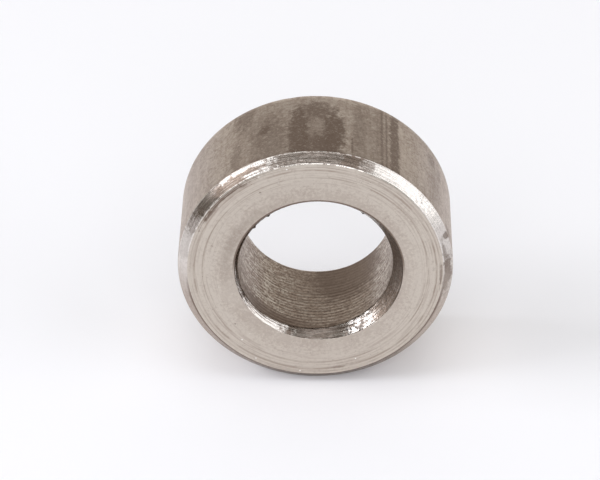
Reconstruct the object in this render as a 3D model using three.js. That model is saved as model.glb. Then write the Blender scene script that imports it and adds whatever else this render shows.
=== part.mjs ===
// Shaft collar: a plain one-piece ring of turned steel that slips over a shaft, as a stop, spacer or thrust face.
//
// Millimetres, +Z up. The origin lies on the bore's axis, halfway along it. The axis is Y: the front face looks
// towards -Y, the rear face towards +Y, and the ring stands on its rim.

import * as THREE from "three";

// Driving dimensions.
const OUTER_DIAMETER = 32;
const BORE_DIAMETER = 18;
const WIDTH = 14;
const RIM_CHAMFER = 1.1; // at 45 degrees, on both edges of the rim
const BORE_CHAMFER_HEIGHT = 0.8; // radial, at both mouths of the bore
const BORE_CHAMFER_DEPTH = 1.2; // axial, at both mouths of the bore
const FRONT_CHAMFER_OFFSET = 0.4; // how far the front bore chamfer is cut off the bore's axis, towards +X
const FACETS_AROUND = 192;

// Worked out from them.
const rimRadius = OUTER_DIAMETER / 2;
const faceRadius = rimRadius - RIM_CHAMFER;
const boreRadius = BORE_DIAMETER / 2;
const mouthRadius = boreRadius + BORE_CHAMFER_HEIGHT;
const frontY = -WIDTH / 2;
const rearY = WIDTH / 2;

// Half of the ring's section, as radius and Y: up the rim, in along the rear face, back through the bore, and
// out along the front face to where it began.
const sectionCorners = [
  { name: "front face, at the rim chamfer", radius: faceRadius, y: frontY },
  { name: "rim, front edge", radius: rimRadius, y: frontY + RIM_CHAMFER },
  { name: "rim, rear edge", radius: rimRadius, y: rearY - RIM_CHAMFER },
  { name: "rear face, at the rim chamfer", radius: faceRadius, y: rearY },
  { name: "rear mouth of the bore", radius: mouthRadius, y: rearY },
  { name: "bore wall, rear end", radius: boreRadius, y: rearY - BORE_CHAMFER_DEPTH },
  { name: "bore wall, front end", radius: boreRadius, y: frontY + BORE_CHAMFER_DEPTH },
  { name: "front mouth of the bore", radius: mouthRadius, y: frontY },
  { name: "front face, at the rim chamfer", radius: faceRadius, y: frontY },
];

function ringGeometry() {
  const outline = sectionCorners.map(({ radius, y }) => new THREE.Vector2(radius, y));
  return new THREE.LatheGeometry(outline, FACETS_AROUND);
}

// The front bore chamfer is a cone on an axis of its own, beside the bore's. Its circle on the front face moves
// over with that axis, and on the side that it moves to, the cone runs wider and deeper into the bore.
function offsetFrontBoreChamfer(geometry) {
  const position = geometry.attributes.position;
  for (let i = 0; i < position.count; i += 1) {
    const corner = sectionCorners[i % sectionCorners.length].name;
    if (corner === "front mouth of the bore") {
      position.setX(i, position.getX(i) + FRONT_CHAMFER_OFFSET);
    }
    if (corner === "bore wall, front end") {
      const fromConeAxis = Math.hypot(position.getX(i) - FRONT_CHAMFER_OFFSET, position.getZ(i));
      const depth = ((mouthRadius - fromConeAxis) * BORE_CHAMFER_DEPTH) / BORE_CHAMFER_HEIGHT;
      position.setY(i, frontY + depth);
    }
  }
  geometry.computeVertexNormals();
}

function collarRing() {
  const geometry = ringGeometry();
  offsetFrontBoreChamfer(geometry);
  const turnedSteel = new THREE.MeshStandardMaterial({
    color: 0xb5aaa1,
    roughness: 0.42,
    metalness: 0.95,
    flatShading: true,
  });
  const mesh = new THREE.Mesh(geometry, turnedSteel);
  mesh.name = "collar_ring";
  return mesh;
}

const shaftCollar = new THREE.Group();
shaftCollar.name = "shaft_collar";
shaftCollar.add(collarRing());

export default shaftCollar;
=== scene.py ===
"""The looks of a plain turned steel shaft collar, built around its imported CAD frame.

The ring's axis is Y, its front face looks towards -Y and it stands on its rim. Its shape is worked out in
millimetres, as (radius, y) at each angle round the ring, with 0 degrees at +X and 90 at the top. It is turned
into metres when the mesh is made.
"""

from math import cos, pi, radians, sin, tan

import bpy
import numpy as np
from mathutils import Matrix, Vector

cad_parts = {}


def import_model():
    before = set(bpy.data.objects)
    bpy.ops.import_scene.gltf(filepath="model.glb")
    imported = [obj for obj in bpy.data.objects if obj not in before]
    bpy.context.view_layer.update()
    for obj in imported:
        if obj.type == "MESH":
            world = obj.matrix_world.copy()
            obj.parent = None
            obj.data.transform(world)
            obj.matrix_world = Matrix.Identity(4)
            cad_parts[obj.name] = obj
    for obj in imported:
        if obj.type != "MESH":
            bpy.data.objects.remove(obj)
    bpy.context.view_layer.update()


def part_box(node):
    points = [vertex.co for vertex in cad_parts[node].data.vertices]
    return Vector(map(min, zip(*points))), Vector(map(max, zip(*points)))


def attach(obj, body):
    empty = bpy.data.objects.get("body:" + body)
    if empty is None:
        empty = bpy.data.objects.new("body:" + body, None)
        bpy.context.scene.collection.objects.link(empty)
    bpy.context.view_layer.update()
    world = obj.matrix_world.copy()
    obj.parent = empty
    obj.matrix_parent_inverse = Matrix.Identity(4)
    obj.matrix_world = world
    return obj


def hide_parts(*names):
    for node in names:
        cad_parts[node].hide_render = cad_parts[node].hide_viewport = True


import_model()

MM = 0.001

# The ring, in millimetres. Rim radius and width come from the frame.
NODE = "collar_ring"
low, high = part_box(NODE)
RIM_RADIUS = (high.x - low.x) / 2 / MM
FRONT = low.y / MM
REAR = high.y / MM
BORE_RADIUS = 9.0
RIM_CHAMFER = 1.1
BORE_CHAMFER_HEIGHT = 0.8
BORE_CHAMFER_DEPTH = 1.2
MOUTH_RADIUS = BORE_RADIUS + BORE_CHAMFER_HEIGHT
FRONT_CHAMFER_OFFSET = 0.4  # the front bore chamfer is cut off the bore's axis, towards +X
EDGE_BREAK = 0.09  # how far back from a sharp corner the edge starts to round over

COLUMNS = 360  # round the ring
EDGE_POINTS = 3  # inside each rounded edge

# Seeds of the random draws.
GROOVE_SEED = 17
BORE_RIPPLE_SEED = 20
SCORED_SEED = 27  # the first scored line's, and the others' follow it
CHATTER_SEED = 48
STREAK_SEED = 49
RIM_SEED = 67

# The camera, seen from the ring's centre: degrees, metres, and millimetres for the lens and its frame.
CAMERA_AZIMUTH = 0.48
CAMERA_ELEVATION = 34.6
CAMERA_DISTANCE = 0.337
CAMERA_LENS = 171.5
CAMERA_FRAME = 36
AIM_RIGHT = -0.00187  # the view's centre, off the ring's centre
AIM_UP = -0.0003


# ---------------------------------------------------------------------------------------------------- shape


def angles():
    return np.arange(COLUMNS) * 2 * pi / COLUMNS


def front_mouth_radius(theta):
    """The off-centre circle where the front bore chamfer meets the face, as a radius from the bore's axis."""
    across = FRONT_CHAMFER_OFFSET * np.sin(theta)
    return FRONT_CHAMFER_OFFSET * np.cos(theta) + np.sqrt(MOUTH_RADIUS**2 - across**2)


def front_chamfer_depth(theta):
    """How far in from the front face the chamfer's cone meets the bore's wall."""
    x_from_cone_axis = BORE_RADIUS * np.cos(theta) - FRONT_CHAMFER_OFFSET
    from_cone_axis = np.hypot(x_from_cone_axis, BORE_RADIUS * np.sin(theta))
    return (MOUTH_RADIUS - from_cone_axis) * BORE_CHAMFER_DEPTH / BORE_CHAMFER_HEIGHT


def even(count):
    return np.linspace(0, 1, count)


# Where the rows lie across each surface, from 0 at the corner where it starts to 1 at the next corner.
FRONT_RIM_CHAMFER_ROWS = even(10)
RIM_ROWS = even(22)
REAR_RIM_CHAMFER_ROWS = even(7)
REAR_FACE_ROWS = even(26)
REAR_BORE_CHAMFER_ROWS = even(6)
BORE_ROWS = even(112)
FRONT_BORE_CHAMFER_ROWS = even(14)
# Closer together towards the rim, where the deeper lines are.
FRONT_FACE_ROWS = np.concatenate([np.linspace(0, 0.55, 16, endpoint=False), np.linspace(0.55, 1, 36)])


def section_corners(theta):
    """The section's corners, in order: radius and y at each angle, and the surface and rows after it."""
    one = np.ones_like(theta)
    rim = RIM_RADIUS * one
    face_edge = (RIM_RADIUS - RIM_CHAMFER) * one
    bore = BORE_RADIUS * one
    rear_mouth = MOUTH_RADIUS * one
    return [
        (face_edge, FRONT * one, "rim_chamfer", FRONT_RIM_CHAMFER_ROWS),
        (rim, (FRONT + RIM_CHAMFER) * one, "rim", RIM_ROWS),
        (rim, (REAR - RIM_CHAMFER) * one, "rim_chamfer", REAR_RIM_CHAMFER_ROWS),
        (face_edge, REAR * one, "face", REAR_FACE_ROWS),
        (rear_mouth, REAR * one, "bore_chamfer", REAR_BORE_CHAMFER_ROWS),
        (bore, (REAR - BORE_CHAMFER_DEPTH) * one, "bore", BORE_ROWS),
        (bore, FRONT + front_chamfer_depth(theta), "bore_chamfer", FRONT_BORE_CHAMFER_ROWS),
        (front_mouth_radius(theta), FRONT * one, "face", FRONT_FACE_ROWS),
    ]


def section(theta):
    """The rows of the ring's surface: (radius, y) at each angle, the row's surface, its share across that."""
    corners = section_corners(theta)
    points = [np.stack([radius, y], -1) for radius, y, _, _ in corners]
    rows, surfaces, across = [], [], []
    for i, (_, _, surface, shares) in enumerate(corners):
        before, corner, after = points[i - 1], points[i], points[(i + 1) % len(points)]
        arrive = towards(corner, before, EDGE_BREAK)
        start = towards(corner, after, EDGE_BREAK)
        stop = towards(after, corner, EDGE_BREAK)
        for k in range(1, EDGE_POINTS + 1):
            t = k / (EDGE_POINTS + 1)
            rows.append(arrive * (1 - t) ** 2 + corner * 2 * t * (1 - t) + start * t**2)
            surfaces.append(surface)
            across.append(0.0)
        for t in shares:
            rows.append(start * (1 - t) + stop * t)
            surfaces.append(surface)
            across.append(t)
    return np.array(rows), surfaces, across


def towards(a, b, distance):
    """The point at a distance from a, on the way to b."""
    step = b - a
    return a + step / np.linalg.norm(step, axis=-1, keepdims=True) * distance


def outward_normals(rows):
    """Unit normals in (radius, y), pointing out of the steel."""
    along = np.roll(rows, -1, axis=0) - np.roll(rows, 1, axis=0)
    normal = np.stack([along[..., 1], -along[..., 0]], -1)
    return normal / np.linalg.norm(normal, axis=-1, keepdims=True)


SMOOTH_PEAK = 2.5  # about how high the sum of seven waves gets


def smooth_random(theta, seed, waves=7):
    """A slow random curve round the ring, between about -1 and 1, that closes on itself."""
    rng = np.random.default_rng(seed)
    total = np.zeros_like(theta)
    for k in range(1, waves + 1):
        total += rng.normal() * np.cos(k * theta + rng.uniform(0, 2 * pi)) / k**0.5
    return total / SMOOTH_PEAK


def ripples(theta, across, seed, most_waves=90, across_waves=1.6, count=40):
    """Random unevenness of about height 1, in waves both round the ring and across a surface."""
    rng = np.random.default_rng(seed)
    total = np.zeros_like(theta)
    for _ in range(count):
        waves = rng.integers(most_waves // 6, most_waves)
        slant = rng.normal() * 2 * pi * across_waves * across
        total += np.cos(waves * theta + slant + rng.uniform(0, 2 * pi))
    return total / (count / 2) ** 0.5


# The UNDER values set a surface back a little, so that its waves stay inside the CAD size.
BORE_PITCH = 0.57  # the boring tool's feed in one turn
BORE_GROOVE = 0.03  # how deep its groove is at most
GROOVE_TURNS = 64  # more than the bore holds
REAR_GROOVE_SHARE = 0.45  # how deep the groove is at the rear, next to the front
GROOVE_FADE = (-1.5, 3.0)  # the stretch of y where it gets shallower
BORE_RIPPLE = 0.003
BORE_RIPPLE_LENGTH = 6
BORE_UNDER = 0.004


def bore_grooves(theta, y):
    """A boring tool's spiral groove: a round-nosed cut with a sharp crest between turns."""
    turn = (y - FRONT) / BORE_PITCH + theta / (2 * pi)
    across = turn - np.floor(turn)
    strength = np.random.default_rng(GROOVE_SEED).uniform(0.45, 1.0, GROOVE_TURNS)
    fade = np.interp(y, GROOVE_FADE, (1.0, REAR_GROOVE_SHARE))
    depth = BORE_GROOVE * fade * strength[np.clip(np.floor(turn), 0, GROOVE_TURNS - 1).astype(int)]
    ripple = BORE_RIPPLE * ripples(theta, y / BORE_RIPPLE_LENGTH, BORE_RIPPLE_SEED)
    return -depth * (1 - (2 * across - 1) ** 2) + ripple - BORE_UNDER


FACE_PITCH = 0.34  # the facing tool's feed in one turn
FACE_GROOVE = 0.0035
SCORED_LINES = ((14.45, 0.010), (14.07, 0.016), (13.72, 0.007), (13.1, 0.012), (12.3, 0.006))  # radius, depth
SCORED_WIDTH = 0.075


def face_lines(theta, radius):
    """A facing tool's shallow spiral, with a few deeper lines near the outside that come and go."""
    turn = radius / FACE_PITCH - theta / (2 * pi)
    across = turn - np.floor(turn)
    depth = FACE_GROOVE * (1 - (2 * across - 1) ** 2)
    for i, (scored, deep) in enumerate(SCORED_LINES):
        strength = np.clip(0.55 + 0.7 * smooth_random(theta, SCORED_SEED + i), 0.05, 1.3)
        depth = depth + deep * strength * np.exp(-(((radius - scored) / SCORED_WIDTH) ** 2))
    return -depth


CHAMFER_CROWN = 0.02
CHAMFER_STREAK = 0.004
STREAKS_ACROSS = 3.2
STREAK_WANDER = 2.2  # radians
CHAMFER_CHATTER = 0.0035
CHAMFER_UNDER = 0.008


def chamfer_lines(theta, across):
    """A chamfer turned by hand: slightly crowned, with tool streaks along it and chatter across it."""
    crown = CHAMFER_CROWN * (2 * across - 1) ** 2
    wander = STREAK_WANDER * smooth_random(theta, STREAK_SEED)
    streaks = CHAMFER_STREAK * np.cos(2 * pi * STREAKS_ACROSS * across + wander)
    chatter = CHAMFER_CHATTER * ripples(theta, across, CHATTER_SEED)
    return streaks + chatter - crown - CHAMFER_UNDER


RIM_WAVE = 0.004
RIM_UNDER = 0.01


def rim_waves(theta):
    """The slow waviness of drawn bar."""
    return RIM_WAVE * smooth_random(theta, RIM_SEED, waves=9) - RIM_UNDER


# Small marks of handling, and burrs, which have a negative depth: angle, radius, y, how wide, how deep.
DINGS = (
    (17.5, 15.9, -5.95, 0.32, 0.09),
    (71.0, 15.0, -6.9, 0.28, 0.05),
    (148.0, 14.7, -7.0, 0.45, 0.035),
    (139.0, 14.55, -7.0, 0.3, 0.03),
    (-3.0, 14.75, -7.0, 0.4, 0.04),
    (-52.0, 15.6, -6.3, 0.3, 0.06),
    (214.0, 15.5, -6.5, 0.35, 0.06),
    (101.0, 15.8, 6.1, 0.35, 0.07),
    (33.0, 15.3, 6.7, 0.4, 0.05),
    (262.0, 15.2, 6.8, 0.35, 0.05),
    (166.0, 14.6, 7.0, 0.4, 0.04),
    (141.0, 9.0, -6.2, 0.17, -0.16),
    (126.6, 9.0, -6.2, 0.15, -0.15),
    (53.3, 9.0, -5.6, 0.15, -0.17),
)


def dings(theta, radius, y):
    """The height that the small marks add at each point of a row."""
    x, z = radius * np.cos(theta), radius * np.sin(theta)
    total = np.zeros_like(x)
    for angle, at_radius, at_y, wide, deep in DINGS:
        centre_x, centre_z = at_radius * cos(radians(angle)), at_radius * sin(radians(angle))
        away = ((x - centre_x) ** 2 + (y - at_y) ** 2 + (z - centre_z) ** 2) / wide**2
        total -= deep * np.exp(-away)
    return total


def surface_height(surface, theta, radius, y, across):
    """How far a row stands out of its CAD surface; nearly everywhere it lies under it."""
    if surface == "bore":
        return bore_grooves(theta, y)
    if surface == "face":
        return face_lines(theta, radius)
    if surface == "rim":
        return rim_waves(theta)
    return chamfer_lines(theta, across)


def ring_mesh():
    """The whole ring as one closed mesh, with a material for each of its surfaces."""
    theta = angles()
    rows, surfaces, across = section(theta)
    normals = outward_normals(rows)
    names = sorted(set(surfaces))
    vertices = []
    for row, normal, surface, share in zip(rows, normals, surfaces, across):
        radius, y = row[:, 0], row[:, 1]
        height = surface_height(surface, theta, radius, y, share) + dings(theta, radius, y)
        radius = np.minimum(radius + normal[:, 0] * height, RIM_RADIUS)
        y = np.clip(y + normal[:, 1] * height, FRONT, REAR)
        vertices.append(np.stack([radius * np.cos(theta), y, radius * np.sin(theta)], -1))
    vertices = np.concatenate(vertices) * MM
    faces, slots = [], []
    for i in range(len(rows)):
        j = (i + 1) % len(rows)
        for a in range(COLUMNS):
            b = (a + 1) % COLUMNS
            faces.append((i * COLUMNS + a, j * COLUMNS + a, j * COLUMNS + b, i * COLUMNS + b))
            slots.append(names.index(surfaces[i]))
    mesh = bpy.data.meshes.new("steel_ring")
    mesh.from_pydata(vertices.tolist(), [], faces)
    mesh.polygons.foreach_set("material_index", slots)
    mesh.polygons.foreach_set("use_smooth", [True] * len(faces))
    for name in names:
        mesh.materials.append(SURFACES[name]())
    mesh.update()
    return mesh


# ------------------------------------------------------------------------------------------------ materials

GLINT = (0.95, 0.94, 0.93, 1)
CUT = (0.78, 0.735, 0.695, 1)
STEEL = (0.60, 0.542, 0.476, 1)
WORN = (0.475, 0.405, 0.355, 1)
DULL = (0.375, 0.304, 0.26, 1)
BROWN = (0.31, 0.241, 0.196, 1)
# The colour of stains, and also of painted shade.
STAIN_AND_SHADE = (0.166, 0.119, 0.094, 1)
SOOT = (0.075, 0.059, 0.05, 1)
# The colour of grease, and also of painted dark reflections on the chamfers.
GREASE_AND_SHADE = (0.174, 0.133, 0.107, 1)
EDGE_TINT = (1, 0.97, 0.94, 1)  # of reflections at a grazing angle
ALL_ACROSS = 30  # a half width that is more than the ring's own

# Noise without a direction: scale, detail, roughness.
CLOUD = (0.42, 4.0, 0.65)
GRAIN = (1.3, 4.0, 0.75)
MOTTLE = (3.0, 4.0, 0.85)
CHAMFER_MOTTLE = (2.8, 4.0, 0.8)
FACE_CLOUD = (0.35, 3.0, 0.55)
FACE_FINE = (3.2, 4.0, 0.75)
FACE_RAGGED = (2.2, 3.0, 0.7)
FACE_PITS = (5.5, 1.0, 0.55)
FACE_GLINT_NOISE = (2.4, 1.0, 0.55)

# How deep each surface's bumps look, in millimetres.
FACE_BUMP = 0.014
RIM_BUMP = 0.02
RIM_CHAMFER_BUMP = 0.032
BORE_CHAMFER_BUMP = 0.04
BORE_BUMP = 0.014


class Shader:
    """One steel material, with short calls for its nodes. Every place is in millimetres."""

    def __init__(self, name):
        self.material = bpy.data.materials.new(name)
        self.material.use_nodes = True
        self.nodes = self.material.node_tree.nodes
        self.links = self.material.node_tree.links
        self.steel = self.nodes["Principled BSDF"]
        self.steel.inputs["Metallic"].default_value = 1.0
        self.steel.inputs["Specular Tint"].default_value = EDGE_TINT
        place = self.new("ShaderNodeVectorMath", Vector=self.new("ShaderNodeTexCoord").outputs["Object"])
        place.operation = "SCALE"
        place.inputs["Scale"].default_value = 1 / MM
        self.place = place.outputs[0]
        split = self.new("ShaderNodeSeparateXYZ", Vector=self.place)
        self.x, self.y, self.z = split.outputs
        self.radius = self.from_axis(self.x)
        self.turn_x = self.calc("DIVIDE", self.x, self.radius)
        self.turn_z = self.calc("DIVIDE", self.z, self.radius)
        self.away_y = self.calc("ABSOLUTE", self.y)

    def new(self, kind, **inputs):
        """A node of this kind, its inputs fed by name."""
        node = self.nodes.new(kind)
        for name, value in inputs.items():
            self.feed(node.inputs[name], value)
        return node

    def feed(self, socket, value):
        """Links the socket to another, or sets it."""
        if isinstance(value, bpy.types.NodeSocket):
            self.links.new(value, socket)
        else:
            socket.default_value = value

    def calc(self, operation, *values):
        """One step of arithmetic."""
        node = self.nodes.new("ShaderNodeMath")
        node.operation = operation
        for socket, value in zip(node.inputs, values):
            self.feed(socket, value)
        return node.outputs[0]

    def times(self, a, b):
        return self.calc("MULTIPLY", a, b)

    def plus(self, a, b):
        return self.calc("ADD", a, b)

    def minus(self, a, b):
        return self.calc("SUBTRACT", a, b)

    def vector(self, x, y, z):
        return self.new("ShaderNodeCombineXYZ", X=x, Y=y, Z=z).outputs[0]

    def from_axis(self, x):
        """Distance from an axis along Y, where x is measured from that axis."""
        return self.calc("SQRT", self.plus(self.calc("POWER", x, 2), self.calc("POWER", self.z, 2)))

    def front(self):
        """1 on the front half of the ring."""
        return self.calc("LESS_THAN", self.y, 0.0)

    def rear(self):
        """1 on the rear half."""
        return self.calc("GREATER_THAN", self.y, 0.0)

    def noise(self, vector, scale, detail=3.0, rough=0.55):
        node = self.new("ShaderNodeTexNoise", Vector=vector, Scale=scale, Detail=detail, Roughness=rough)
        return node.outputs["Fac"]

    def speckle(self, look):
        """Noise that is the same in every direction, from one of the looks above."""
        return self.noise(self.place, *look)

    def ragged(self, noise, depth):
        """Unevenness for the edge of a patch, as a share of its size."""
        return self.times(self.minus(noise, 0.5), depth)

    def lines_round(self, across, fine, long):
        """Noise drawn out round the ring. fine is its scale across the lines, long its scale along them."""
        x, z = self.times(self.turn_x, long), self.times(self.turn_z, long)
        return self.noise(self.vector(x, z, self.times(across, fine)), 1.0)

    def lines_along(self, fine, long):
        """Noise drawn out along the ring's axis."""
        x, z = self.times(self.turn_x, fine), self.times(self.turn_z, fine)
        return self.noise(self.vector(x, z, self.times(self.y, long)), 1.0, 3.0, 0.6)

    def crests(self, along, pitch):
        """1 on the crest between two turns of a tool's spiral, 0 in the middle of its groove."""
        round_part = self.times(self.calc("ARCTAN2", self.z, self.x), 0.5 / pi)
        turn = self.plus(self.times(along, 1 / pitch), round_part)
        return self.calc("ABSOLUTE", self.minus(self.times(self.calc("FRACT", turn), 2.0), 1.0))

    def span(self, value, start, stop, low_value=0.0, high_value=1.0):
        """A smooth step from low_value at start to high_value at stop."""
        node = self.nodes.new("ShaderNodeMapRange")
        node.interpolation_type = "SMOOTHSTEP"
        given = {
            "Value": value,
            "From Min": start,
            "From Max": stop,
            "To Min": low_value,
            "To Max": high_value,
        }
        for name, setting in given.items():
            self.feed(node.inputs[name], setting)
        return node.outputs[0]

    def patch(self, angle, arc, at, half_width, ragged, soft=0.5, across=None):
        """1 inside a ragged oval, 0 outside.

        arc and half_width are its half sizes, round the ring and across it. Its middle is at an angle round
        the ring, and at a y, or at a radius when across is the radius.
        """
        a = radians(angle)
        beside = self.minus(self.times(self.z, cos(a)), self.times(self.x, sin(a)))
        facing = self.plus(self.times(self.x, cos(a)), self.times(self.z, sin(a)))
        round_part = self.calc("POWER", self.times(beside, 1 / arc), 2)
        off = self.minus(across or self.y, at)
        across_part = self.calc("POWER", self.times(off, 1 / half_width), 2)
        reach = self.plus(self.calc("SQRT", self.plus(round_part, across_part)), ragged)
        inside = self.span(reach, 1 + soft / 2, 1 - soft / 2)
        return self.times(inside, self.calc("GREATER_THAN", facing, 0.0))

    def blend(self, share, a, b):
        """Colour a where share is 0, and b where it is 1."""
        node = self.nodes.new("ShaderNodeMix")
        node.data_type = "RGBA"
        factor, first, second = node.inputs[0], node.inputs[6], node.inputs[7]
        for socket, value in ((factor, share), (first, a), (second, b)):
            self.feed(socket, value)
        return node.outputs[2]

    def stain(self, colour, marks, ragged):
        """The colour with dark marks on it, each an angle, arc, y, half width, softness and strength."""
        for angle, arc, y, half_width, soft, strength in marks:
            mask = self.patch(angle, arc, y, half_width, ragged, soft)
            colour = self.blend(self.times(mask, strength), colour, STAIN_AND_SHADE)
        return colour

    def finish(self, colour, roughness, height, bump_mm):
        """Feeds the shader, and gives the finished material."""
        bump = self.new("ShaderNodeBump", Height=height, Distance=bump_mm * MM, Strength=1.0)
        self.feed(self.steel.inputs["Base Color"], colour)
        self.feed(self.steel.inputs["Roughness"], roughness)
        self.feed(self.steel.inputs["Normal"], bump.outputs[0])
        return self.material


# Dark lines all the way round the faces: radius, half width, strength.
FACE_RINGS = ((14.45, 0.12, 0.3), (14.07, 0.2, 0.6), (13.1, 0.13, 0.5))
FACE_MARKS = (  # face (-1 the front, 1 the rear), angle, arc, radius, half width, softness, strength
    (-1, 138.0, 4.6, 14.71, 0.08, 1.0, 0.85),
    (-1, 137.0, 4.2, 14.52, 0.10, 1.0, 0.95),
    (-1, 146.5, 1.2, 14.38, 0.17, 1.0, 0.8),
    (-1, 124.5, 0.5, 14.40, 0.12, 1.0, 0.5),
    (-1, -1.5, 1.5, 14.60, 0.13, 1.0, 0.6),
    (-1, -78.0, 0.8, 14.05, 0.14, 1.0, 0.45),
    (-1, 120.0, 0.12, 12.65, 0.1, 1.0, 0.6),
    (-1, -141.0, 0.1, 12.05, 0.1, 1.0, 0.6),
    (-1, 157.0, 5.0, 10.40, 0.6, 1.4, 0.22),
    (-1, 108.0, 9.0, 11.00, 2.2, 1.6, 0.07),
    (1, 62.0, 3.2, 14.30, 0.09, 1.0, 0.6),
    (1, 201.0, 2.2, 12.60, 0.3, 1.2, 0.4),
    (1, 318.0, 1.2, 11.20, 0.5, 1.2, 0.4),
)
# Painted glints on the faces: small spots of near-white colour.
FACE_GLINTS = ((-131, 13.1), (-69, 13.4), (-119, 14.4), (-97, 14.5), (103, 14.5))  # bright: angle, radius
GLINT_SIZE = (0.08, 0.07)  # arc, half width
LIP_DARK = 0.14  # painted shade: the dark line round the front mouth is full this far out from it, and ends at LIP_END
LIP_END = 0.25


def face_steel():
    """Both faces: dull mottle, turning lines showing near the outside, dark rings, marks, pits, painted shade
    and glints.
    """
    s = Shader("faced_steel")
    lines = s.lines_round(s.radius, 6.0, 2.2)
    broken = s.lines_round(s.radius, 1.5, 5.0)
    fine = s.speckle(FACE_FINE)
    # Dull all over, and most of all near the bore.
    near_bore = s.span(s.radius, 12.6, 10.4)
    dull = s.times(s.span(s.plus(s.times(fine, 0.7), s.times(near_bore, 0.12)), 0.34, 0.50), 0.5)
    cloudy = s.span(s.speckle(FACE_CLOUD), 0.3, 0.7, 0.5, 1.0)
    colour = s.blend(s.times(dull, cloudy), STEEL, DULL)
    # Streaks, and the spiral where the tool fed out.
    outer = s.span(s.radius, 11.0, 13.4)
    streak = s.times(s.span(lines, 0.50, 0.66), s.span(outer, 0.0, 1.0, 0.15, 0.5))
    colour = s.blend(streak, colour, DULL)
    spiral = s.times(s.span(s.crests(s.radius, FACE_PITCH), 0.5, 0.1), s.span(broken, 0.46, 0.60))
    right_side = s.span(s.turn_x, -0.4, 0.5, 0.15, 0.4)
    colour = s.blend(s.times(s.times(spiral, outer), right_side), colour, DULL)
    for radius, half_width, strength in FACE_RINGS:
        near = s.span(s.calc("ABSOLUTE", s.minus(s.radius, radius)), half_width, 0.02)
        share = s.times(s.times(near, s.span(broken, 0.40, 0.56, 0.35, 1.0)), strength)
        colour = s.blend(share, colour, BROWN)
    # Painted shade: a dark line round the upper half of the front mouth.
    mouth = s.from_axis(s.minus(s.x, FRONT_CHAMFER_OFFSET))
    mouth_shade = s.times(s.span(mouth, MOUTH_RADIUS + LIP_END, MOUTH_RADIUS + LIP_DARK), s.front())
    mouth_shade = s.times(mouth_shade, s.span(s.turn_z, -0.1, 0.2, 0.0, 0.9))
    colour = s.blend(mouth_shade, colour, STAIN_AND_SHADE)
    ragged = s.ragged(s.speckle(FACE_RAGGED), 2.0)
    for face, angle, arc, radius, half_width, soft, strength in FACE_MARKS:
        mask = s.patch(angle, arc, radius, half_width, ragged, soft, s.radius)
        this_face = s.front() if face < 0 else s.rear()
        colour = s.blend(s.times(s.times(mask, this_face), strength), colour, STAIN_AND_SHADE)
    pits = s.span(s.speckle(FACE_PITS), 0.74, 0.80)
    colour = s.blend(s.times(pits, 0.7), colour, STAIN_AND_SHADE)
    # Painted glints: near-white spots at the listed places, then tiny near-white specks scattered by noise.
    arc, half_width = GLINT_SIZE
    for angle, radius in FACE_GLINTS:
        colour = s.blend(s.patch(angle, arc, radius, half_width, 0.0, 0.8, s.radius), colour, GLINT)
    specks = s.span(s.speckle(FACE_GLINT_NOISE), 0.80, 0.82)
    colour = s.blend(specks, colour, GLINT)
    roughness = s.span(fine, 0.3, 0.7, 0.28, 0.42)
    return s.finish(colour, roughness, s.plus(lines, s.times(fine, 0.4)), FACE_BUMP)


RIM_MARKS = (  # angle, arc, y, half width, softness, strength
    (97.3, 1.2, -2.6, 5.6, 0.5, 0.9),
    (90.5, 2.3, 2.7, 1.7, 0.7, 0.7),
    (82.6, 1.3, -1.7, 4.2, 0.6, 0.93),
    (85.5, 1.6, -4.6, 2.2, 0.9, 0.7),
    (89.7, 2.2, -2.4, 6.6, 0.7, 0.4),
    (89.2, 2.5, -4.7, 2.3, 0.7, 0.7),
    (55.7, 0.62, 0.0, ALL_ACROSS, 0.6, 0.9),
    (59.6, 0.13, 0.0, ALL_ACROSS, 1.2, 0.6),
    (61.8, 0.16, 0.0, ALL_ACROSS, 1.2, 0.6),
    (61.0, 1.0, 0.5, ALL_ACROSS, 1.2, 0.25),
    (75.0, 0.14, -4.2, 1.8, 1.0, 0.7),
    (112.0, 0.6, 0.1, 0.9, 1.0, 0.85),
    (113.0, 2.0, 0.8, 2.6, 1.2, 0.3),
    (113.0, 4.6, 0.5, 9.0, 1.4, 0.3),
    (109.5, 2.2, -3.0, 4.2, 0.9, 0.5),
    (121.5, 1.3, 4.3, 2.6, 0.9, 0.6),
    (125.0, 0.8, -3.0, 2.6, 1.0, 0.45),
    (72.0, 0.7, -1.0, 5.0, 1.2, 0.35),
    (67.5, 2.4, -1.5, 8.0, 1.2, 0.35),
    (30.0, 1.2, -1.0, 5.5, 1.2, 0.3),
    (33.0, 0.7, 3.4, 1.0, 1.0, 0.5),
    (26.0, 0.5, 2.8, 1.2, 1.0, 0.4),
    (17.5, 1.0, -5.3, 0.35, 1.0, 0.7),
    (11.0, 1.0, -4.6, 0.3, 1.0, 0.5),
    (212.0, 2.6, 1.5, 5.2, 0.5, 0.6),
    (248.0, 0.7, 0.0, ALL_ACROSS, 0.9, 0.7),
    (287.0, 3.2, -1.5, 4.2, 0.5, 0.6),
    (331.0, 1.3, 2.5, 2.6, 1.0, 0.6),
)


def rim_steel():
    """The rim: drawn steel, streaked along the axis, stained, then speckled both dark and bright."""
    s = Shader("drawn_steel")
    streaks = s.lines_along(22.0, 0.07)
    mottle = s.speckle(MOTTLE)
    grain = s.speckle(GRAIN)
    dirt_and_shade = s.plus(s.times(streaks, 0.45), s.times(s.speckle(CLOUD), 0.55))
    colour = s.blend(s.span(dirt_and_shade, 0.42, 0.60, 0.0, 0.85), WORN, DULL)
    colour = s.blend(s.times(s.span(grain, 0.50, 0.66), 0.45), colour, STEEL)
    colour = s.stain(colour, RIM_MARKS, s.ragged(grain, 1.5))
    colour = s.blend(s.times(s.span(mottle, 0.50, 0.62), 0.38), colour, STAIN_AND_SHADE)
    colour = s.blend(s.times(s.span(mottle, 0.46, 0.34), 0.35), colour, STEEL)
    roughness = s.span(mottle, 0.3, 0.7, 0.30, 0.48)
    return s.finish(colour, roughness, mottle, RIM_BUMP)


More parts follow.
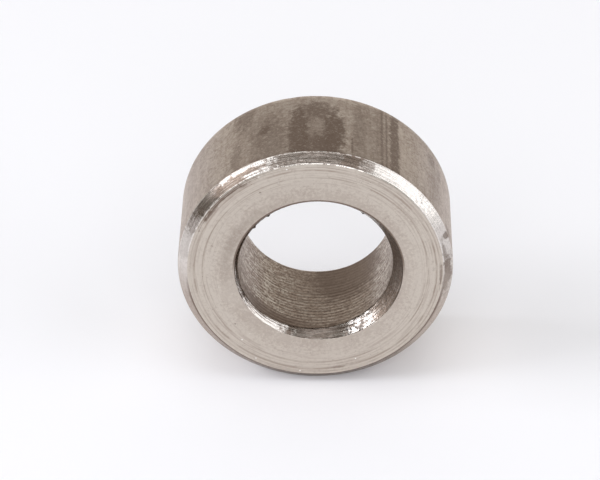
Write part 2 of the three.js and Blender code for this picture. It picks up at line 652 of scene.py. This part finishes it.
# Stretches of the front chamfers that are freer of soot: angle, arc, how much freer.
RIM_CHAMFER_CLEAN = (
    (53.0, 3.6, 0.85),
    (30.0, 2.8, 0.6),
    (15.0, 2.0, 0.7),
    (177.0, 4.5, 0.8),
)
BORE_CHAMFER_CLEAN = (
    (-131.0, 3.3, 0.9),
    (-90.0, 3.6, 0.75),
    (-168.0, 3.0, 0.8),
    (8.0, 6.5, 0.7),
)
# Stains on the chamfers, and painted dark reflections: angle, arc, y, half width, strength.
RIM_CHAMFER_STAINS_AND_DARK_REFLECTIONS = (
    (91.0, 4.8, -6.4, ALL_ACROSS, 0.82),
    (74.5, 1.0, -6.4, ALL_ACROSS, 0.95),
    (69.3, 1.2, -6.4, ALL_ACROSS, 0.7),
    (142.8, 2.3, -6.4, ALL_ACROSS, 0.84),
    (154.0, 1.8, -6.4, ALL_ACROSS, 0.6),
    (167.0, 2.0, -6.4, ALL_ACROSS, 0.3),
    (130.5, 2.3, -6.85, 0.68, 0.95),
    (119.0, 1.9, -6.42, 0.2, 0.95),
    (20.0, 0.9, -6.4, ALL_ACROSS, 0.2),
    (17.5, 0.45, -6.05, 0.35, 0.8),
    (12.0, 1.6, -6.4, ALL_ACROSS, 0.2),
    (9.0, 1.8, -6.7, 0.2, 0.6),
    (-1.0, 2.2, -6.55, 0.5, 0.9),
    (60.0, 4.0, 6.4, ALL_ACROSS, 0.6),
    (200.0, 5.0, 6.4, ALL_ACROSS, 0.7),
    (300.0, 4.0, 6.4, ALL_ACROSS, 0.6),
)
BORE_CHAMFER_STAINS_AND_DARK_REFLECTIONS = (
    (-89.6, 3.45, -6.4, ALL_ACROSS, 0.9),
    (-108.8, 0.2, -6.4, ALL_ACROSS, 0.8),
    (-29.0, 2.2, -6.4, ALL_ACROSS, 0.85),
    (-157.0, 0.35, -6.4, ALL_ACROSS, 0.7),
    (100.0, 8.0, -6.4, ALL_ACROSS, 0.6),
    (250.0, 5.0, 6.4, ALL_ACROSS, 0.6),
)


# soot_from is the mottle's value where soot starts, soot how strong it is, and soft the softness of the
# stains and painted dark reflections.
RIM_CHAMFER_LOOK = {
    "soot_from": 0.48,
    "soot": 0.55,
    "clean": RIM_CHAMFER_CLEAN,
    "stains_and_dark_reflections": RIM_CHAMFER_STAINS_AND_DARK_REFLECTIONS,
    "soft": 0.5,
}
BORE_CHAMFER_LOOK = {
    "soot_from": 0.44,
    "soot": 0.95,
    "clean": BORE_CHAMFER_CLEAN,
    "stains_and_dark_reflections": BORE_CHAMFER_STAINS_AND_DARK_REFLECTIONS,
    "soft": 0.3,
}


def chamfer_colour(s, lines, mottle, grain, edges, soot_from, soot, clean, stains_and_dark_reflections, soft):
    """Bright cut steel, soot in specks and streaks, stains and painted dark reflections, edges worn bright
    again.
    """
    ragged = s.ragged(grain, 2.0)
    front = s.front()
    for angle, arc, freer in clean:
        here = s.times(s.patch(angle, arc, 0.0, ALL_ACROSS, ragged), front)
        soot = s.times(soot, s.minus(1.0, s.times(here, freer)))
    colour = s.blend(s.times(s.span(mottle, soot_from, soot_from + 0.08), soot), CUT, SOOT)
    colour = s.blend(s.times(s.span(lines, 0.54, 0.64), soot), colour, GREASE_AND_SHADE)
    streaked = s.span(lines, 0.36, 0.54, 0.78, 1.0)
    # Stains, and painted dark reflections that dim the steel's mirror image in places.
    for angle, arc, y, half_width, strength in stains_and_dark_reflections:
        same_end = front if y < 0 else s.minus(1.0, front)
        mask = s.times(s.patch(angle, arc, y, half_width, ragged, soft), same_end)
        colour = s.blend(s.times(s.times(mask, strength), streaked), colour, GREASE_AND_SHADE)
    for distance in edges:
        worn = s.times(s.span(distance, 0.15, 0.05), s.span(grain, 0.42, 0.52))
        colour = s.blend(s.times(worn, 0.9), colour, CUT)
    return colour


def rim_chamfer_steel():
    """The chamfers of the rim: cut bright, duller on the rear, with painted floor shade on their lower half.
    """
    s = Shader("chamfered_steel")
    lines = s.lines_round(s.minus(s.radius, s.away_y), 6.0, 3.0)
    mottle = s.speckle(CHAMFER_MOTTLE)
    grain = s.speckle(GRAIN)
    from_face = s.minus(REAR, s.away_y)
    edges = (from_face, s.minus(RIM_RADIUS, s.radius))
    colour = chamfer_colour(s, lines, mottle, grain, edges, **RIM_CHAMFER_LOOK)
    rear = s.rear()
    colour = s.blend(s.times(rear, s.span(grain, 0.40, 0.60, 0.85, 0.45)), colour, WORN)
    # Painted reflection of shaded floor: darker lower half, paler on the right, a shade line along the face.
    dirt_and_shade = s.span(s.plus(s.times(lines, 0.6), s.times(grain, 0.4)), 0.36, 0.58, 0.6, 1.0)
    floor_reflection_tone = s.blend(s.span(s.turn_x, 0.3, 0.75), DULL, WORN)
    colour = s.blend(s.times(s.span(s.turn_z, 0.25, -0.4), dirt_and_shade), colour, floor_reflection_tone)
    # Painted shade: darkest at the bottom, next to the floor.
    colour = s.blend(s.times(s.span(s.turn_z, -0.6, -0.9), dirt_and_shade), colour, STAIN_AND_SHADE)
    # Painted shade: a dark line along the face on the lower half.
    face_shade_line = s.times(s.span(from_face, 0.34, 0.16), s.span(s.turn_z, 0.0, -0.3))
    colour = s.blend(s.times(face_shade_line, 0.9), colour, STAIN_AND_SHADE)
    roughness = s.plus(s.span(mottle, 0.35, 0.65, 0.09, 0.22), s.times(rear, 0.12))
    return s.finish(colour, roughness, s.plus(lines, s.times(mottle, 0.5)), RIM_CHAMFER_BUMP)


def bore_chamfer_steel():
    """The chamfers of the bore: cut bright, duller on the front one's right and all round the rear one."""
    s = Shader("countersunk_steel")
    lines = s.lines_round(s.away_y, 6.0, 3.0)
    mottle = s.speckle(CHAMFER_MOTTLE)
    grain = s.speckle(GRAIN)
    edges = (s.minus(REAR, s.away_y),)
    colour = chamfer_colour(s, lines, mottle, grain, edges, **BORE_CHAMFER_LOOK)
    dull_side = s.calc("MAXIMUM", s.span(s.turn_x, 0.62, 0.85), s.rear())
    dull = s.blend(s.span(mottle, 0.42, 0.54), WORN, BROWN)
    colour = s.blend(s.times(dull_side, 0.9), colour, dull)
    roughness = s.plus(s.span(mottle, 0.35, 0.65, 0.09, 0.22), s.times(dull_side, 0.22))
    return s.finish(colour, roughness, s.plus(lines, s.times(mottle, 0.5)), BORE_CHAMFER_BUMP)


BORE_MARKS = (  # angle, arc, y, half width, softness, strength
    (-63.0, 4.6, 4.2, 5.4, 0.5, 0.85),
    (-128.0, 4.6, -5.3, 1.2, 0.9, 0.92),
    (-92.0, 5.0, -5.72, 0.12, 0.8, 0.85),
    (-76.5, 0.55, -5.3, 0.32, 0.6, 0.85),
    (60.0, 4.0, -2.0, 3.5, 0.5, 0.6),
    (140.0, 3.0, 3.5, 2.5, 0.5, 0.6),
)


def bore_steel():
    """The bore's wall: brown, with paler crests near the front, lighter in mottled patches at both sides,
    then stained.
    """
    s = Shader("bored_steel")
    mottle = s.speckle(MOTTLE)
    grain = s.speckle(GRAIN)
    broken = s.lines_round(s.y, 2.6, 9.0)
    colour = s.blend(s.span(mottle, 0.42, 0.60, 0.0, 0.8), BROWN, STAIN_AND_SHADE)
    crest = s.span(s.crests(s.minus(s.y, FRONT), BORE_PITCH), 0.40, 0.85)
    crest_shows = s.times(s.span(s.y, -1.5, 4.5, 1.0, 0.35), s.span(broken, 0.45, 0.57, 0.05, 1.0))
    colour = s.blend(s.times(s.times(crest, crest_shows), 0.68), colour, WORN)
    # Lighter, in mottled patches, towards the left and the right sides.
    side_mottle = s.plus(s.times(mottle, 0.5), s.times(s.lines_round(s.y, 4.5, 7.0), 0.5))
    left_side = s.span(s.turn_x, -0.10, -0.6, 0.2, 0.9)
    right_side = s.span(s.turn_x, 0.72, 0.84, 0.0, 0.9)
    colour = s.blend(s.times(s.span(side_mottle, 0.51, 0.41), left_side), colour, STEEL)
    colour = s.blend(s.times(s.span(side_mottle, 0.53, 0.43), right_side), colour, STEEL)
    colour = s.stain(colour, BORE_MARKS, s.ragged(grain, 1.3))
    roughness = s.span(mottle, 0.3, 0.7, 0.27, 0.42)
    return s.finish(colour, roughness, s.plus(s.times(mottle, 0.5), s.times(broken, 0.5)), BORE_BUMP)


SURFACES = {
    "face": face_steel,
    "rim": rim_steel,
    "rim_chamfer": rim_chamfer_steel,
    "bore_chamfer": bore_chamfer_steel,
    "bore": bore_steel,
}


# ---------------------------------------------------------------------------------------------------- stage

# Everything from here on is in metres.
FLOOR_RADIUS = 0.28
FLOOR_COLOUR = (0.93, 0.925, 0.955, 1)


def floor():
    material = bpy.data.materials.new("pale_floor")
    material.use_nodes = True
    plain = material.node_tree.nodes["Principled BSDF"]
    plain.inputs["Base Color"].default_value = FLOOR_COLOUR
    plain.inputs["Roughness"].default_value = 0.9
    plain.inputs["Specular IOR Level"].default_value = 0.1
    bpy.ops.mesh.primitive_circle_add(
        vertices=128,
        radius=FLOOR_RADIUS,
        fill_type="NGON",
        location=(0, 0, low.z),
    )
    disc = bpy.context.object
    disc.name = "floor"
    disc.data.materials.append(material)


def direction(azimuth, elevation):
    """A unit vector: azimuth 0 is -Y, where the front face looks, and grows towards +X."""
    a, e = radians(azimuth), radians(elevation)
    return Vector((sin(a) * cos(e), -cos(a) * cos(e), sin(e)))


LIGHT_DISTANCE = 1.6
LIGHT_COLOUR = (0.94, 0.955, 1)
LIGHTS = (  # name, azimuth, elevation, half the angles that it fills, power
    ("key_left", -83, 32, 14, 16, 10.2),
    ("wall_left", -56, 32, 15, 17, 4.0),
    ("wall_right", 70, 26, 21, 29, 8.0),
    ("window_front", 0, 32, 24, 14, 7.6),
    ("overhead", 0, 86, 18, 18, 3.8),
)

# Faint light that the ring's sides throw down on the floor beside them.
BOUNCE_SIZE = 0.012
BOUNCE_HEIGHT = 0.008  # above the floor
BOUNCES = (  # name, x, power, colour
    ("bounce_left", -0.0155, 0.00010, (1, 0.95, 0.88)),
    ("bounce_right", 0.0155, 0.00013, (1, 0.90, 0.80)),
)


def area_light(name, location, power, colour):
    """A square light that the camera doesn't see. It shines down until it is turned."""
    light = bpy.data.lights.new(name, "AREA")
    light.energy = power
    light.color = colour
    place = bpy.data.objects.new(name, light)
    bpy.context.scene.collection.objects.link(place)
    place.location = location
    place.visible_camera = False
    return place


def softbox(name, azimuth, elevation, half_width, half_height, power):
    """A rectangular light aimed at the ring."""
    place = area_light(name, direction(azimuth, elevation) * LIGHT_DISTANCE, power, LIGHT_COLOUR)
    place.data.shape = "RECTANGLE"
    place.data.size = 2 * LIGHT_DISTANCE * tan(radians(half_width))
    place.data.size_y = 2 * LIGHT_DISTANCE * tan(radians(half_height))
    place.rotation_euler = (-place.location).to_track_quat("-Z", "Y").to_euler()


def bounce(name, x, power, colour):
    place = area_light(name, (x, 0, low.z + BOUNCE_HEIGHT), power, colour)
    place.data.size = BOUNCE_SIZE
    place.visible_glossy = False


ROOM = (0.42, 0.414, 0.388, 1)
# The pale wall behind the ring: its middle, and how far from there it starts to fade and ends, in degrees.
WALL_AZIMUTH = 180
WALL_ELEVATION = -8
WALL_FADE = 26
WALL_END = 50
WALL_COLOUR = (1.16, 1.12, 1.06, 1)
BACKDROP = (0.94, 0.935, 0.98, 1)  # what the camera sees past the floor


def world():
    """A dim room with one pale wall for the steel to reflect, and a plain backdrop for the camera."""
    room = bpy.data.worlds.new("room")
    bpy.context.scene.world = room
    room.use_nodes = True
    nodes, links = room.node_tree.nodes, room.node_tree.links
    nodes.clear()
    looking = nodes.new("ShaderNodeTexCoord").outputs["Generated"]
    at_wall = nodes.new("ShaderNodeVectorMath")
    at_wall.operation = "DOT_PRODUCT"
    at_wall.inputs[1].default_value = direction(WALL_AZIMUTH, WALL_ELEVATION)
    links.new(looking, at_wall.inputs[0])
    share = nodes.new("ShaderNodeMapRange")
    share.interpolation_type = "SMOOTHSTEP"
    share.inputs["From Min"].default_value = cos(radians(WALL_END))
    share.inputs["From Max"].default_value = cos(radians(WALL_FADE))
    links.new(at_wall.outputs["Value"], share.inputs["Value"])
    tone = nodes.new("ShaderNodeMix")
    tone.data_type = "RGBA"
    tone.inputs[6].default_value = ROOM
    tone.inputs[7].default_value = WALL_COLOUR
    links.new(share.outputs[0], tone.inputs[0])
    dim = nodes.new("ShaderNodeBackground")
    links.new(tone.outputs[2], dim.inputs["Color"])
    pale = nodes.new("ShaderNodeBackground")
    pale.inputs["Color"].default_value = BACKDROP
    seen = nodes.new("ShaderNodeLightPath")
    choose = nodes.new("ShaderNodeMixShader")
    out = nodes.new("ShaderNodeOutputWorld")
    links.new(seen.outputs["Is Camera Ray"], choose.inputs[0])
    links.new(dim.outputs[0], choose.inputs[1])
    links.new(pale.outputs[0], choose.inputs[2])
    links.new(choose.outputs[0], out.inputs["Surface"])


def camera():
    back = direction(CAMERA_AZIMUTH, CAMERA_ELEVATION)
    right = Vector((0, 0, 1)).cross(back).normalized()
    up = back.cross(right)
    data = bpy.data.cameras.new("camera")
    data.lens = CAMERA_LENS
    data.sensor_width = CAMERA_FRAME
    place = bpy.data.objects.new("camera", data)
    bpy.context.scene.collection.objects.link(place)
    place.location = back * CAMERA_DISTANCE
    aim = right * AIM_RIGHT + up * AIM_UP
    place.rotation_euler = (aim - place.location).to_track_quat("-Z", "Y").to_euler()
    bpy.context.scene.camera = place


# ----------------------------------------------------------------------------------------------------- build

camera()
world()
for softbox_settings in LIGHTS:
    softbox(*softbox_settings)
for bounce_settings in BOUNCES:
    bounce(*bounce_settings)
floor()

ring = bpy.data.objects.new("steel_ring", ring_mesh())
bpy.context.scene.collection.objects.link(ring)
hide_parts(NODE)
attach(ring, "root")

bpy.context.scene.view_settings.view_transform = "Standard"
